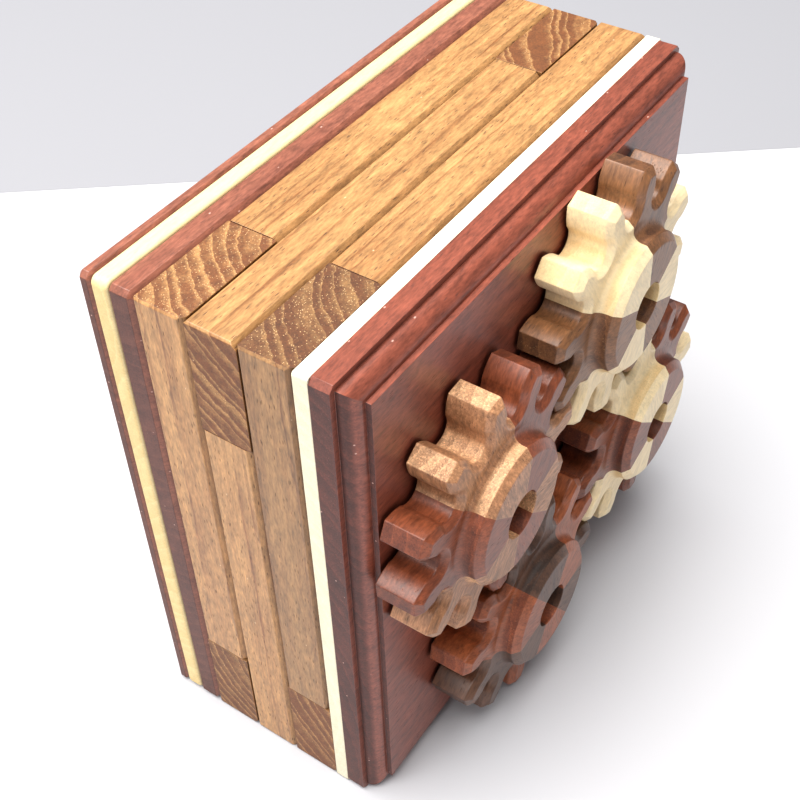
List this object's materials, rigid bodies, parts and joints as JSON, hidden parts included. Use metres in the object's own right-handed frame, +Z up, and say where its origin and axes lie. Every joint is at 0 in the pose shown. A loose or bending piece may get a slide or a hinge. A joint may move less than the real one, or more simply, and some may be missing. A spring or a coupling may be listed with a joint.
{
  "type": "wooden puzzle box",
  "caption": "Square wooden box in layers of ply and teak strips, with meshed wooden gears on a moulded lid that lifts off the front.",
  "frame": {"origin": "middle of the footprint, on the ground", "axes": "+Z up; -Y to the front, where the gears are; +Y to the back panel; -X left seen from the front"},
  "size_m": [0.14, 0.0836, 0.14],
  "materials": {
    "red_ply": "oiled, satin",
    "maple_ply": "oiled, satin",
    "teak": "oiled, satin",
    "white_ply": "pale, sanded",
    "red_board": "oiled, satin",
    "birch_ply": "oiled, satin",
    "walnut": "oiled, satin",
    "maple": "oiled, satin",
    "tan": "oiled, satin",
    "red_brown": "oiled, satin",
    "dark_red": "oiled, satin",
    "orange": "oiled, satin",
    "grey_walnut": "oiled, satin",
    "birch_dowel": "oiled, satin",
    "spacer_wood": "oiled, satin",
    "arm_wood": "oiled, satin"
  },
  "bodies": {
    "case": {"back_outer_ply": "red_ply", "back_maple_ply": "maple_ply", "back_inner_ply": "red_ply", "frame_1_top": "teak", "frame_1_right": "teak", "frame_1_bottom": "teak", "frame_1_left": "teak", "frame_2_top": "teak", "frame_2_right": "teak", "frame_2_bottom": "teak", "frame_2_left": "teak", "frame_3_top": "teak", "frame_3_right": "teak", "frame_3_bottom": "teak", "frame_3_left": "teak"},
    "lid": {"lid_board": "red_board", "lid_backing_ply": "white_ply", "lid_tongue": "birch_ply"},
    "gear_a": {"gear_a_wedge_1": "walnut", "gear_a_wedge_2": "maple", "gear_a_wedge_3": "walnut", "gear_a_wedge_4": "maple", "gear_a_wedge_5": "walnut", "gear_a_wedge_6": "maple", "axle_a": "birch_dowel", "spacer_a": "spacer_wood", "lock_arm_a": "arm_wood"},
    "gear_b": {"gear_b_wedge_1": "red_brown", "gear_b_wedge_2": "tan", "gear_b_wedge_3": "red_brown", "gear_b_wedge_4": "tan", "gear_b_wedge_5": "red_brown", "gear_b_wedge_6": "tan", "axle_b": "birch_dowel", "spacer_b": "spacer_wood", "lock_arm_b": "arm_wood"},
    "gear_c": {"gear_c_wedge_1": "dark_red", "gear_c_wedge_2": "maple", "gear_c_wedge_3": "dark_red", "gear_c_wedge_4": "maple", "gear_c_wedge_5": "dark_red", "gear_c_wedge_6": "maple", "axle_c": "birch_dowel", "spacer_c": "spacer_wood", "lock_arm_c": "arm_wood"},
    "gear_d": {"gear_d_wedge_1": "orange", "gear_d_wedge_2": "grey_walnut", "gear_d_wedge_3": "orange", "gear_d_wedge_4": "grey_walnut", "gear_d_wedge_5": "orange", "gear_d_wedge_6": "grey_walnut", "axle_d": "birch_dowel", "spacer_d": "spacer_wood", "lock_arm_d": "arm_wood"}
  },
  "joints": [
    {"name": "lid_slide", "type": "slide", "parent": "case", "child": "lid", "axis": [0, -1, 0], "range_m": [0, 0.06]},
    {"name": "gear_a_turn", "type": "hinge", "parent": "lid", "child": "gear_a", "pos_m": [0.01735, -0.02, 0.10638], "axis": [0, -1, 0], "continuous": true},
    {"name": "gear_b_turn", "type": "hinge", "parent": "lid", "child": "gear_b", "pos_m": [-0.03638, -0.02, 0.08735], "axis": [0, -1, 0], "continuous": true},
    {"name": "gear_c_turn", "type": "hinge", "parent": "lid", "child": "gear_c", "pos_m": [0.03638, -0.02, 0.05265], "axis": [0, -1, 0], "continuous": true},
    {"name": "gear_d_turn", "type": "hinge", "parent": "lid", "child": "gear_d", "pos_m": [-0.01735, -0.02, 0.03362], "axis": [0, -1, 0], "continuous": true}
  ],
  "couplings": [
    {"joint": "gear_b_turn", "follows": "gear_a_turn", "ratio": -1},
    {"joint": "gear_c_turn", "follows": "gear_a_turn", "ratio": -1},
    {"joint": "gear_d_turn", "follows": "gear_a_turn", "ratio": 1}
  ]
}
